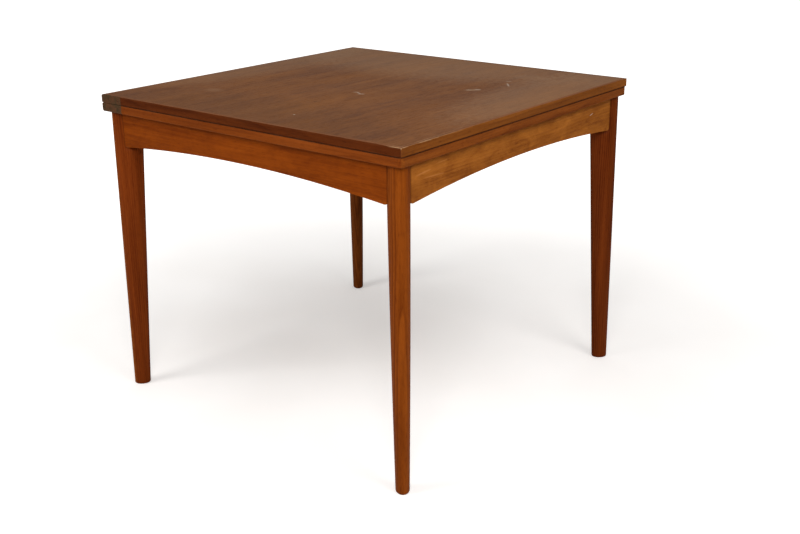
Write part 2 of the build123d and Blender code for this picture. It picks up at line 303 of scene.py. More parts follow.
def linear(red: float, green: float, blue: float) -> Triple:
    """A colour given as screen values of 0 to 255, in linear light.

    Args:
        red: Its red.
        green: Its green.
        blue: Its blue.

    Returns:
        The linear colour.
    """

    def one(value: float) -> float:
        """One channel."""
        share = value / 255.0
        return share / 12.92 if share <= 0.04045 else ((share + 0.055) / 1.055) ** 2.4

    return one(red), one(green), one(blue)


def new_material(name: str) -> tuple[bpy.types.Material, Graph, bpy.types.Node]:
    """An empty material with one Principled shader.

    Args:
        name: The material's name.

    Returns:
        The material, a writer for its nodes and the shader node.
    """
    made = bpy.data.materials.new(name)
    made.use_nodes = True
    made.node_tree.nodes.clear()
    graph = Graph(made.node_tree)
    shader = graph.node("ShaderNodeBsdfPrincipled")
    graph.made_by("ShaderNodeOutputMaterial", {}, Surface=shader.outputs[0])
    return made, graph, shader


# ------------------------------------------------------------------ geometry rule helper
class Recipe(Graph):
    """A Geometry Nodes tree with named inputs, run once on a carrier mesh and made plain."""

    def __init__(self, name: str) -> None:
        """Starts an empty tree.

        Args:
            name: The tree's name.
        """
        super().__init__(bpy.data.node_groups.new(name, "GeometryNodeTree"))
        self.tree.interface.new_socket("Geometry", in_out="OUTPUT", socket_type="NodeSocketGeometry")
        self.tree.interface.new_socket("Geometry", in_out="INPUT", socket_type="NodeSocketGeometry")
        self.given = self.node("NodeGroupInput")
        self.values: dict[str, object] = {}

    def ask(self, name: str, value: object, kind: str = "NodeSocketFloat") -> Socket:
        """Adds a named input and remembers the value that it gets.

        Args:
            name: The input's name.
            value: What the modifier sets it to.
            kind: The socket's type.

        Returns:
            The input, as a socket inside the tree.
        """
        self.tree.interface.new_socket(name, in_out="INPUT", socket_type=kind)
        self.values[name] = value
        return self.given.outputs[name]

    def joined(self, parts: list[Socket]) -> Socket:
        """Several meshes as one.

        Args:
            parts: The meshes.

        Returns:
            The joined mesh.
        """
        join = self.node("GeometryNodeJoinGeometry")
        for part in parts:
            self.tree.links.new(part, join.inputs[0])
        return join.outputs[0]

    def moved(self, mesh: Socket, rise: object) -> Socket:
        """A mesh moved along Z."""
        shift = self.join(0.0, 0.0, rise)
        return self.made_by("GeometryNodeTransform", {}, Geometry=mesh, Translation=shift).outputs[0]

    def flipped(self, mesh: Socket) -> Socket:
        """A mesh with its faces turned over."""
        return self.made_by("GeometryNodeFlipFaces", {}, Mesh=mesh).outputs[0]

    def welded(self, parts: list[Socket]) -> Socket:
        """Several open meshes as one closed one.

        Args:
            parts: The meshes, which meet along their edges.

        Returns:
            The closed mesh.
        """
        whole = self.joined(parts)
        weld = self.made_by("GeometryNodeMergeByDistance", {}, Geometry=whole, Distance=WELD_REACH)
        return weld.outputs[0]

    def disc(self, rise: object, radius: object, sides: int) -> Socket:
        """A flat disc that faces up.

        Args:
            rise: Its height.
            radius: Its radius.
            sides: How many sides it has.

        Returns:
            The disc.
        """
        filled = {"fill_type": "NGON"}
        disc = self.made_by("GeometryNodeMeshCircle", filled, Vertices=sides, Radius=radius)
        return self.moved(disc.outputs[0], rise)

    def band(self, low: object, wide: object, high: object, narrow: object, sides: int) -> Socket:
        """An open band turned about Z, from one height and radius up to another.

        Args:
            low: Lower height.
            wide: Radius there.
            high: Upper height.
            narrow: Radius there.
            sides: How many sides it has.

        Returns:
            The band, facing out.
        """
        cone = self.made_by(
            "GeometryNodeMeshCone",
            {"fill_type": "NONE"},
            Vertices=sides,
            Radius_Bottom=wide,
            Radius_Top=narrow,
            Depth=self.minus(high, low),
        )
        return self.moved(cone.outputs["Mesh"], low)

    def turned(self, profile: Profile, sides: int) -> Socket:
        """A closed body turned about Z.

        Args:
            profile: Height and radius of each corner, from the lowest one up.
            sides: How many sides it has.

        Returns:
            The body.
        """
        parts = [
            self.band(low, wide, high, narrow, sides)
            for (low, wide), (high, narrow) in zip(profile, profile[1:])
        ]
        parts.append(self.flipped(self.disc(*profile[0], sides)))
        parts.append(self.disc(*profile[-1], sides))
        return self.welded(parts)

    def less(self, mesh: Socket, tools: list[Socket]) -> Socket:
        """A mesh less the tools.

        Args:
            mesh: What is cut.
            tools: What is taken away.

        Returns:
            What is left.
        """
        cut = self.node("GeometryNodeMeshBoolean", operation="DIFFERENCE", solver="EXACT")
        self.feed(cut.inputs["Mesh 1"], mesh)
        for tool in tools:
            self.tree.links.new(tool, cut.inputs["Mesh 2"])
        return cut.outputs["Mesh"]

    def close(self, mesh: Socket, finish: bpy.types.Material) -> None:
        """Ends the tree: instances made real, then the finish.

        Args:
            mesh: What the tree has made.
            finish: The material that it gets.
        """
        real = self.made_by("GeometryNodeRealizeInstances", {}, Geometry=mesh).outputs[0]
        coat = self.ask("Finish", finish, "NodeSocketMaterial")
        dressed = self.made_by("GeometryNodeSetMaterial", {}, Geometry=real, Material=coat)
        out = self.node("NodeGroupOutput")
        self.tree.links.new(dressed.outputs[0], out.inputs[0])

    def run(
        self, name: str, points: Seats, crease: float, finish: bpy.types.Material
    ) -> bpy.types.Object:
        """Runs the tree on points and makes the result a plain piece.

        Args:
            name: The piece's name.
            points: Where each copy stands, and the way it points.
            crease: Angle above which an edge stays sharp, in degrees.
            finish: The piece's material.

        Returns:
            The piece, at the origin, with no modifier left.
        """
        carrier = bpy.data.meshes.new(name + "_points")
        carrier.from_pydata([tuple(place) for place, _ in points], [], [])
        ways = carrier.attributes.new("way", "FLOAT_VECTOR", "POINT")
        for item, (_, way) in zip(ways.data, points):
            item.vector = way
        piece = bpy.data.objects.new(name, carrier)
        bpy.context.scene.collection.objects.link(piece)
        modifier = piece.modifiers.new("rule", "NODES")
        modifier.node_group = self.tree
        for item in self.tree.interface.items_tree:
            if item.item_type == "SOCKET" and item.in_out == "INPUT" and item.name in self.values:
                modifier[item.identifier] = self.values[item.name]
        graph = bpy.context.evaluated_depsgraph_get()
        mesh = bpy.data.meshes.new_from_object(piece.evaluated_get(graph), depsgraph=graph)
        piece.modifiers.clear()
        piece.data = mesh
        mesh.name = name
        mesh.materials.clear()
        mesh.materials.append(finish)
        mesh.shade_smooth()
        mesh.set_sharp_from_angle(angle=math.radians(crease))
        LOG.info("made %s: %d faces", name, len(mesh.polygons))
        return piece


# ------------------------------------------------------------------ finishes
# Dark colour of dirt and painted shade, in the gap between the leaves and at the aprons' ends.
JOINT_DIRT_AND_SHADE = linear(58, 20, 3)
SEAM_DIRT_AND_SHADE_REACH = (2.6 * MM, 0.6 * MM)  # where a seam's dirt and painted shade end, and where they are whole
SEAM_DIRT_AND_SHADE_STRENGTH = 0.85
END_SHADE_REACH = (7.0 * MM, 0.5 * MM)  # the same for the painted shade line at a board's ends
SKIN = (0.3 * MM, 0.1 * MM)  # how close to its box's top or bottom a face counts as flat and gets the painted sheen
FLAT_SWING = 1.2
RING_DRIFT = 6.0 * MM
RUB_DEPTH = (0.6 * MM, 3.5 * MM)  # least depth of a rubbed arris, and how much more it may be
RUB_WHOLE = 0.75
MARK_RAGGED = 1.1
MARK_FADE = (1.0, 0.15)  # where a mark ends, and where it is whole, in shares of its size
WOOD_RELIEF = 0.12 * MM
METAL_RELIEF = 0.05 * MM
FELT_RELIEF = 0.4 * MM


class Grain(Enum):
    """The way the fibres of a piece run."""

    X = "x"
    Y = "y"
    Z = "z"


class Plane(Enum):
    """The two axes that a face lies along."""

    LEVEL = (0, 1)
    SIDE = (1, 2)


@dataclass(frozen=True)
class Mark:
    """A stain, dent or rub on a face, or a patch of painted sheen, shade or highlight: an oval in the
    plane of that face.

    Attributes:
        centre: Its two coordinates along the face, in metres.
        size: Half length and half width, in metres.
        turn: Turn of the long side, in degrees.
        colour: Its linear colour.
        strength: How much of it shows at its middle.
        plane: The face's plane.
    """

    centre: tuple[float, float]
    size: tuple[float, float]
    turn: float
    colour: Triple
    strength: float
    plane: Plane = Plane.LEVEL


@dataclass(frozen=True)
class Wood:
    """A solid wood or veneer with rings, streaks, pores, wear along its arrises and marks.

    Attributes:
        name: Material name.
        body: The general colour.
        grain: The way the fibres run.
        heart: Where the tree's heart lies across the fibres, in metres from the table's middle.
        ring: Width of a year's growth.
        ring_depth: How much darker late wood is, 0 to 1.
        waviness: How far the rings wander, in metres.
        streaks: How many broad streaks a metre holds across the fibres.
        streak_depth: Strength of the soft streaks.
        pore_depth: Strength of the fine dark pores.
        roughness: Mean roughness.
        specular: Strength of the surface's own reflection, constant.
        contrast: How far the dark and the light wood part from the general colour.
        worn: Colour where an arris is rubbed.
        wear: How much the arrises are rubbed all along.
        rub_spot: The x and y of the place where they are rubbed most.
        rub_reach: How far that goes, in metres, or 0 for nowhere.
        flat: Colour of the upper and lower faces, paler and greyer than the edges to paint the room's
            sheen on them.
        seam: Level of the seam that dirt and painted shade darken, or 0 for none.
        mottle: Strength of the cloudy patches across the grain.
        end_shade: Strength of the painted shade line where the board's ends meet their neighbours.
        seed: Shift that makes each board its own.
        marks: Marks on its faces.
    """

    name: str
    body: Triple
    grain: Grain = Grain.X
    heart: tuple[float, float] = (0.05, 0.02)
    ring: float = 0.006
    ring_depth: float = 0.22
    waviness: float = 0.035
    streaks: float = 38.0
    streak_depth: float = 0.5
    pore_depth: float = 0.3
    roughness: float = 0.45
    specular: float = 0.035
    contrast: float = 0.5
    worn: Triple = (0.46, 0.27, 0.14)
    wear: float = 0.12
    rub_spot: tuple[float, float] = (0.0, 0.0)
    rub_reach: float = 0.0
    flat: Triple | None = None
    seam: float = 0.0
    mottle: float = 0.0
    end_shade: float = 0.0
    seed: float = 0.0
    marks: tuple[Mark, ...] = field(default=())

    def shades(self) -> tuple[tuple[float, Triple], ...]:
        """The colour ramp's stops, from dark streaks to the palest wood.

        Returns:
            The place and the linear colour of each stop.
        """
        dark = tuple(c * (1.0 - self.contrast * loss) for c, loss in zip(self.body, (0.95, 1.15, 1.3)))
        light = tuple(c * (1.0 + self.contrast * gain) for c, gain in zip(self.body, (0.9, 1.15, 1.5)))
        return (0.12, dark), (0.5, self.body), (0.88, light)

    def along_fibres(self, graph: Graph, point: Socket) -> Socket:
        """The point with its third coordinate along the fibres, shifted by the board's seed.

        Args:
            graph: The material's nodes.
            point: The point on the piece.

        Returns:
            The turned and shifted point.
        """
        x, y, z = graph.split(point)
        order = {Grain.X: (y, z, x), Grain.Y: (x, z, y), Grain.Z: (x, y, z)}[self.grain]
        return graph.mapped(graph.join(*order), shift=(0.0, 0.0, self.seed))

    def rings(self, graph: Graph, board: Socket) -> Socket:
        """The late wood of each year's ring.

        Args:
            graph: The material's nodes.
            board: The point as along_fibres gives it.

        Returns:
            0 in early wood to 1 in late wood.
        """
        wobble = graph.noise(graph.mapped(board, (4.0, 4.0, 1.1)), 1.0, 3.0)
        drift = graph.noise(graph.mapped(board, (30.0, 30.0, 3.0)), 1.0, 2.0)
        a, b, _ = graph.split(board)
        side = graph.minus(a, self.heart[0])
        rise = graph.minus(b, self.heart[1])
        far = graph.times_plus(side, side, graph.times(rise, rise))
        far = graph.math("SQRT", far)
        far = graph.times_plus(graph.minus(wobble, 0.5), 2.0 * self.waviness, far)
        far = graph.times_plus(graph.minus(drift, 0.5), RING_DRIFT, far)
        year = graph.math("FRACT", graph.math("DIVIDE", far, self.ring))
        late = graph.times(graph.smooth(year, 0.2, 0.85), graph.smooth(year, 1.0, 0.88))
        uneven = graph.noise(graph.mapped(board, (45.0, 45.0, 2.5)), 1.0, 2.0)
        return graph.times(late, graph.smooth(uneven, 0.3, 0.68))

    def figure(self, graph: Graph, board: Socket) -> dict[str, Socket]:
        """Rings, streaks and pores.

        Args:
            graph: The material's nodes.
            board: The point as along_fibres gives it.

        Returns:
            The strength of each part of the figure, 0 to 1, by name.
        """
        wide = self.streaks
        pores = graph.noise(graph.mapped(board, (1500.0, 1500.0, 60.0)), 1.0, 1.0)
        return {
            "late": self.rings(graph, board),
            "broad": graph.noise(graph.mapped(board, (wide, wide, 0.04 * wide)), 1.0, 4.0, 0.6),
            "fine": graph.noise(graph.mapped(board, (260.0, 260.0, 7.0)), 1.0, 3.0, 0.6),
            "pores": graph.smooth(pores, 0.56, 0.72),
            "clouds": graph.noise(graph.mapped(board, (7.0, 7.0, 2.6)), 1.0, 2.0),
            "patches": graph.noise(graph.mapped(board, (34.0, 34.0, 17.0)), 1.0, 3.0, 0.6, 0.8),
        }

    def tone(self, graph: Graph, figure: dict[str, Socket]) -> Socket:
        """One number from dark to light wood, centred on 0.5.

        Args:
            graph: The material's nodes.
            figure: What figure() gives.

        Returns:
            The tone.
        """
        tone = graph.times_plus(figure["late"], -self.ring_depth, 0.5 + 0.3 * self.ring_depth)
        depths = {
            "broad": 1.8 * self.streak_depth,
            "fine": self.streak_depth,
            "clouds": 1.1 * self.streak_depth,
            "patches": 1.8 * self.mottle,
        }
        for name, depth in depths.items():
            tone = graph.times_plus(graph.minus(figure[name], 0.5), depth, tone)
        return graph.times_plus(figure["pores"], -self.pore_depth, tone)

    def gaps(self, graph: Graph, point: Socket, low: Vector, high: Vector) -> list[Socket]:
        """How far the point lies inside the piece's box along x, y and z.

        Args:
            graph: The material's nodes.
            point: The point on the piece.
            low: The box's lowest corner.
            high: Its highest corner.

        Returns:
            The three distances to the nearer side.
        """
        inside = []
        for coordinate, bottom, top in zip(graph.split(point), low, high):
            up = graph.minus(coordinate, bottom)
            inside.append(graph.math("MINIMUM", up, graph.minus(top, coordinate)))
        return inside

    def rubbed(self, graph: Graph, point: Socket, low: Vector, high: Vector) -> Socket:
        """How rubbed the piece is, from its nearness to the edges of its box.

        Args:
            graph: The material's nodes.
            point: The point on the piece.
            low: The box's lowest corner.
            high: Its highest corner.

        Returns:
            0 on the faces to 1 on a rubbed arris.
        """
        gaps = self.gaps(graph, point, low, high)
        lesser = graph.math("MINIMUM", gaps[0], gaps[1])
        greater = graph.math("MAXIMUM", gaps[0], gaps[1])
        second = graph.math("MAXIMUM", lesser, graph.math("MINIMUM", greater, gaps[2]))
        patchy = graph.noise(graph.mapped(point, (26.0, 26.0, 60.0)), 1.0, 3.0, 0.65)
        least, more = RUB_DEPTH
        reach = graph.times_plus(graph.smooth(patchy, 0.38, 0.72), more, least)
        edge = graph.minus(1.0, graph.smooth(graph.math("DIVIDE", second, reach), 0.25, 1.0))
        amount: object = self.wear
        if self.rub_reach > 0.0:
            x, y, _ = graph.split(point)
            dx = graph.minus(x, self.rub_spot[0])
            dy = graph.minus(y, self.rub_spot[1])
            far = graph.math("SQRT", graph.times_plus(dx, dx, graph.times(dy, dy)))
            near = graph.smooth(far, self.rub_reach, 0.1 * self.rub_reach)
            near = graph.times(near, graph.smooth(graph.split(point)[2], high.z - 0.005, high.z))
            amount = graph.times_plus(near, RUB_WHOLE - self.wear, self.wear)
        return graph.times(edge, amount)

    def marked(self, graph: Graph, point: Socket, colour: Socket) -> Socket:
        """The colour with the board's marks on it.

        Args:
            graph: The material's nodes.
            point: The point on the piece.
            colour: The wood's colour.

        Returns:
            The marked colour.
        """
        axes = graph.split(point)
        ragged = graph.minus(graph.noise(point, 90.0, 3.0, 0.6), 0.5)
        for mark in self.marks:
            cosine, sine = math.cos(math.radians(mark.turn)), math.sin(math.radians(mark.turn))
            dx = graph.minus(axes[mark.plane.value[0]], mark.centre[0])
            dy = graph.minus(axes[mark.plane.value[1]], mark.centre[1])
            along = graph.times_plus(dx, cosine, graph.times(dy, sine))
            across = graph.times_plus(dy, cosine, graph.times(dx, -sine))
            along = graph.math("DIVIDE", along, mark.size[0])
            across = graph.math("DIVIDE", across, mark.size[1])
            span = graph.times_plus(along, along, graph.times(across, across))
            span = graph.times_plus(ragged, MARK_RAGGED, span)
            share = graph.times(graph.smooth(span, *MARK_FADE), mark.strength)
            colour = graph.mix(share, colour, mark.colour)
        return colour

    def material(self, low: Vector, high: Vector) -> bpy.types.Material:
        """Builds the material for a piece with this box.

        Args:
            low: The box's lowest corner.
            high: Its highest corner.

        Returns:
            The material.
        """
        made, graph, shader = new_material(self.name)
        point = graph.place()
        figure = self.figure(graph, self.along_fibres(graph, point))
        tone = self.tone(graph, figure)
        colour = graph.ramp(tone, self.shades())
        # Painted sheen: the level faces get a paler, greyer colour that stands for the room's reflection.
        if self.flat is not None:
            skin = graph.smooth(self.gaps(graph, point, low, high)[2], *SKIN)
            shade = graph.times_plus(graph.minus(tone, 0.5), FLAT_SWING, 1.0)
            face = graph.mix(1.0, self.flat, graph.join(shade, shade, shade), "MULTIPLY")
            colour = graph.mix(skin, colour, face)
        # Dirt and painted shade along the gap between the leaves.
        if self.seam > 0.0:
            off = graph.math("ABSOLUTE", graph.minus(graph.split(point)[2], self.seam))
            seam_dirt_and_shade = graph.times(graph.smooth(off, *SEAM_DIRT_AND_SHADE_REACH), SEAM_DIRT_AND_SHADE_STRENGTH)
            colour = graph.mix(seam_dirt_and_shade, colour, JOINT_DIRT_AND_SHADE)
        # Painted shade: a dark line at the board's ends, where they meet their neighbours.
        if self.end_shade > 0.0:
            axis = (Grain.X, Grain.Y, Grain.Z).index(self.grain)
            near = graph.smooth(self.gaps(graph, point, low, high)[axis], *END_SHADE_REACH)
            colour = graph.mix(graph.times(near, self.end_shade), colour, JOINT_DIRT_AND_SHADE)
        rubbed = self.rubbed(graph, point, low, high)
        colour = graph.mix(rubbed, colour, self.worn)
        colour = self.marked(graph, point, colour)
        rough = graph.times_plus(graph.minus(figure["clouds"], 0.5), 0.25, self.roughness)
        rough = graph.times_plus(figure["pores"], 0.18, rough)
        rough = graph.times_plus(rubbed, 0.1, rough, clamp=True)
        height = graph.times_plus(figure["pores"], -0.6, graph.times(figure["fine"], 0.4))
        height = graph.times_plus(figure["late"], 0.15, height)
        normal = graph.bump(height, WOOD_RELIEF)
        graph.tune(shader, Base_Color=colour, Roughness=rough, Normal=normal)
        graph.tune(shader, Specular_IOR_Level=self.specular)
        return made


@dataclass(frozen=True)
class Metal:
    """An old metal: a body colour under patches of patina or dirt, with rubbed spots.

    Attributes:
        name: Material name.
        body: Colour of the metal.
        patina: Colour of the patches.
        bright: Colour where it is rubbed.
        patch: Size of a patch, in metres.
        metallic: How metallic it is, constant.
        roughness: Mean roughness.
    """

    name: str
    body: Triple
    patina: Triple
    bright: Triple
    patch: float = 0.012
    metallic: float = 0.85
    roughness: float = 0.42

    def material(self) -> bpy.types.Material:
        """Builds the material.

        Returns:
            The material.
        """
        made, graph, shader = new_material(self.name)
        point = graph.place()
        patches = graph.noise(point, 1.0 / self.patch, 4.0, 0.65, 0.4)
        covered = graph.smooth(patches, 0.3, 0.7)
        specks = graph.smooth(graph.noise(point, 6.0 / self.patch, 2.0), 0.6, 0.72)
        scratches = graph.noise(graph.mapped(point, (90.0, 900.0, 2600.0)), 1.0, 2.0, 0.5)
        rubbed = graph.times(graph.smooth(scratches, 0.56, 0.75), 0.5)
        colour = graph.mix(covered, self.body, self.patina)
        bare = graph.times(rubbed, graph.minus(1.0, covered))
        colour = graph.mix(bare, colour, self.bright)
        colour = graph.mix(graph.times(specks, 0.35), colour, self.bright)
        rough = graph.times_plus(covered, 0.2, self.roughness)
        rough = graph.times_plus(rubbed, -0.15, rough, clamp=True)
        height = graph.times_plus(covered, 0.5, graph.times(scratches, 0.3))
        normal = graph.bump(height, METAL_RELIEF)
        graph.tune(shader, Base_Color=colour, Metallic=self.metallic, Roughness=rough, Normal=normal)
        return made


@dataclass(frozen=True)
class Felt:
    """Pressed wool felt, its fibres a little paler than its body.

    Attributes:
        name: Material name.
        body: General colour.
        fibre: Colour of the paler fibres.
    """

    name: str
    body: Triple
    fibre: Triple

    def material(self) -> bpy.types.Material:
        """Builds the material.

        Returns:
            The material.
        """
        made, graph, shader = new_material(self.name)
        point = graph.place()
        fibres = graph.noise(point, 1400.0, 4.0, 0.7, 1.5)
        clumps = graph.noise(point, 160.0, 2.0)
        tone = graph.times_plus(clumps, 0.5, graph.times(fibres, 0.6))
        colour = graph.mix(graph.smooth(tone, 0.4, 0.75), self.body, self.fibre)
        rough = graph.times_plus(fibres, 0.2, 0.78, clamp=True)
        normal = graph.bump(tone, FELT_RELIEF)
        graph.tune(shader, Base_Color=colour, Roughness=rough, Normal=normal)
        graph.tune(shader, Sheen_Weight=0.4, Sheen_Roughness=0.5)
        return made


# ------------------------------------------------------------------ colours
APRON_TEAK = {
    "apron_front": linear(134, 61, 8),
    "apron_right": linear(150, 86, 28),
    "apron_back": linear(138, 66, 16),
    "apron_left": linear(136, 68, 18),
}
# Each leg's own colour, partly its board's tone and partly painted shade: all but leg_front_right are
# darker where the top shades them.
LEG_TEAK = {
    "leg_front_right": linear(127, 60, 11),
    "leg_front_left": linear(112, 47, 10),
    "leg_back_right": linear(104, 44, 10),
    "leg_back_left": linear(109, 54, 15),
}
LIPPING_TEAK = {
    "upper_leaf_lipping_front": linear(85, 37, 9),
    "upper_leaf_lipping_right": linear(123, 68, 22),
    "lower_leaf_lipping_front": linear(120, 56, 14),
    "lower_leaf_lipping_right": linear(128, 66, 20),
}
RUB_REACH = {"upper_leaf_lipping_front": 0.05, "upper_leaf_lipping_right": 0.24}
EDGE_TEAK = linear(118, 56, 13)
TOP_TEAK = linear(123, 73, 30)
# Paler, greyer colour of the lippings' level faces: painted sheen of the room.
TOP_SHEEN = linear(126, 79, 49)
PALE_MARK = linear(214, 198, 182)
# Pale colour of the painted sheen on the top, and of small pale stains.
PALE_SHEEN_AND_STAIN = linear(174, 142, 112)
RUB_MARK = linear(196, 128, 66)
# Dark colour of small stains, and of the painted shade at the top's front.
DARK_MARK = linear(48, 26, 14)

TOP_MARKS = (
    # Painted sheen of the bright room: the top paler towards the right, the left and the back.
    Mark((0.400, 0.180), (0.170, 0.480), 0.0, PALE_SHEEN_AND_STAIN, 0.24),
    Mark((-0.430, 0.100), (0.150, 0.500), 0.0, PALE_SHEEN_AND_STAIN, 0.2),
    Mark((-0.100, 0.380), (0.560, 0.300), 0.0, PALE_SHEEN_AND_STAIN, 0.26),
    # Painted shade: the top darker towards its front edge.
    Mark((0.000, -0.440), (0.560, 0.260), 0.0, DARK_MARK, 0.24),
    # Small stains and scratches.
    Mark((0.023, -0.079), (0.009, 0.003), 39.0, PALE_MARK, 0.55),
    Mark((0.034, -0.084), (0.012, 0.0025), -25.0, PALE_MARK, 0.5),
    Mark((0.046, -0.090), (0.012, 0.003), 39.0, PALE_MARK, 0.55),
    Mark((0.225, 0.098), (0.024, 0.014), 39.0, PALE_SHEEN_AND_STAIN, 0.4),
    Mark((0.230, 0.110), (0.010, 0.004), 10.0, PALE_MARK, 0.42),
    Mark((0.216, 0.092), (0.009, 0.003), 60.0, PALE_MARK, 0.45),
    Mark((0.254, 0.200), (0.024, 0.003), 129.0, PALE_MARK, 0.4),
    Mark((0.232, 0.240), (0.010, 0.003), 39.0, PALE_MARK, 0.35),
    Mark((0.078, -0.342), (0.0035, 0.003), 0.0, PALE_MARK, 0.8),
    Mark((0.020, -0.215), (0.007, 0.0025), 75.0, DARK_MARK, 0.7),
    Mark((-0.264, -0.254), (0.030, 0.022), 0.0, PALE_SHEEN_AND_STAIN, 0.14),
    Mark((0.245, 0.313), (0.055, 0.040), 0.0, PALE_SHEEN_AND_STAIN, 0.14),
)
# Painted highlights: the outer noses of two legs made lighter where the light falls on them.
LEG_NOSE_HIGHLIGHTS = {
    "leg_front_left": (Mark((-0.431, -0.423), (0.034, 0.019), 45.0, linear(150, 84, 22), 0.85),),
    "leg_back_right": (Mark((0.432, 0.437), (0.024, 0.012), 45.0, linear(124, 54, 16), 0.6),),
}
APRON_RIGHT_MARKS = (
    Mark((-0.352, 0.668), (0.030, 0.0022), 4.0, RUB_MARK, 0.5, Plane.SIDE),
    Mark((-0.318, 0.655), (0.040, 0.0018), -3.0, RUB_MARK, 0.45, Plane.SIDE),
    Mark((-0.290, 0.678), (0.026, 0.0016), 2.0, RUB_MARK, 0.4, Plane.SIDE),
    Mark((0.300, 0.668), (0.010, 0.0014), 12.0, PALE_MARK, 0.6, Plane.SIDE),
)

BRASS = Metal("old_brass", linear(118, 76, 46), linear(82, 66, 42), linear(160, 102, 72))
ZINC = Metal(
    "zinc_steel",
    linear(168, 166, 158),
    linear(128, 122, 108),
    linear(206, 204, 198),
    roughness=0.36,
)
FELT = Felt("felt", linear(66, 58, 44), linear(112, 102, 82))


def beech(name: str, grain: Grain, seed: float) -> Wood:
    """A piece of raw beech, as inside the frame.

    Args:
        name: Material name.
        grain: The way its fibres run.
        seed: Shift along the fibres.

    Returns:
        The finish.
    """
    return Wood(
        name=name,
        body=linear(186, 146, 102),
        grain=grain,
        heart=(0.12, 0.09),
        ring=0.004,
        ring_depth=0.16,
        streak_depth=0.3,
        roughness=0.62,
        specular=0.25,
        contrast=0.3,
        worn=linear(160, 122, 84),
        seed=seed,
    )


def quarter_turns(place: Vector, way: Vector) -> Seats:
    """A point and its way turned to all four sides of the table."""
    turns = [Matrix.Rotation(math.radians(90.0 * turn), 3, "Z") for turn in range(4)]
    return [(turn @ place, turn @ way) for turn in turns]


# ------------------------------------------------------------------ sub-assemblies
def dress(obj: bpy.types.Object, material: bpy.types.Material) -> None:
    """Gives every face of a piece this material.

    Args:
        obj: The piece.
        material: What it is dressed in.
    """
    obj.data.materials.clear()
    obj.data.materials.append(material)
    LOG.info("dressed %s in %s", obj.name, material.name)


def settle(piece: bpy.types.Object, body: str, node: str) -> None:
    """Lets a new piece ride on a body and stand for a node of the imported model.

    Args:
        piece: The piece.
        body: The body that it moves with.
        node: The node that it stands for.
    """
    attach(piece, body)
    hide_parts(node)


class Head(Enum):
    """The forms of a fastener's head."""

    COUNTERSUNK = "countersunk"
    ROUND = "round"
    HEXAGON = "hexagon"


